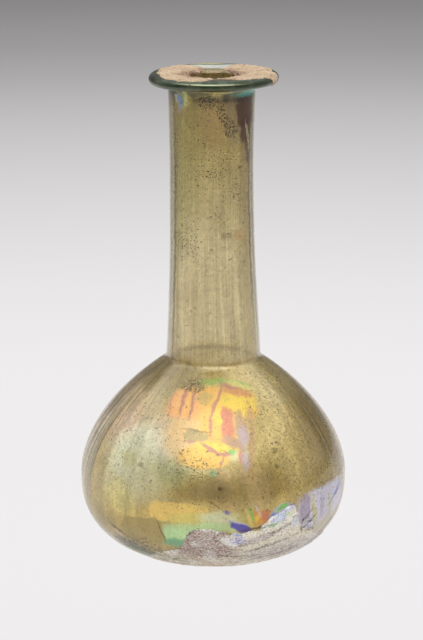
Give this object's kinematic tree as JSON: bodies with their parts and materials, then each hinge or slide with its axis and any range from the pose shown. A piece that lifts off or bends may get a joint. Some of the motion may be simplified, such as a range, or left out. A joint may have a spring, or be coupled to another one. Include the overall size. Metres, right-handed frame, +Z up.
{
  "type": "glass bottle",
  "caption": "Free-blown ancient glass bottle with a squat body, a long neck and a flat disc rim folded in at a narrow mouth, weathered to a rainbow film.",
  "frame": {"origin": "under the middle of the body, on the surface that the foot ring stands on", "axes": "+Z up along the neck, -Y towards the side with the large iridescent patch and the crust, +X to the right of that side"},
  "size_m": [0.09, 0.09, 0.16],
  "materials": {
    "weathered_glass": "olive-tan see-through glass, clouded by burial, with a gold, green, pink and violet iridescent film and a pale scaly crust on the rim and underside"
  },
  "bodies": {
    "root": {"bottle": "weathered_glass"}
  },
  "joints": []
}
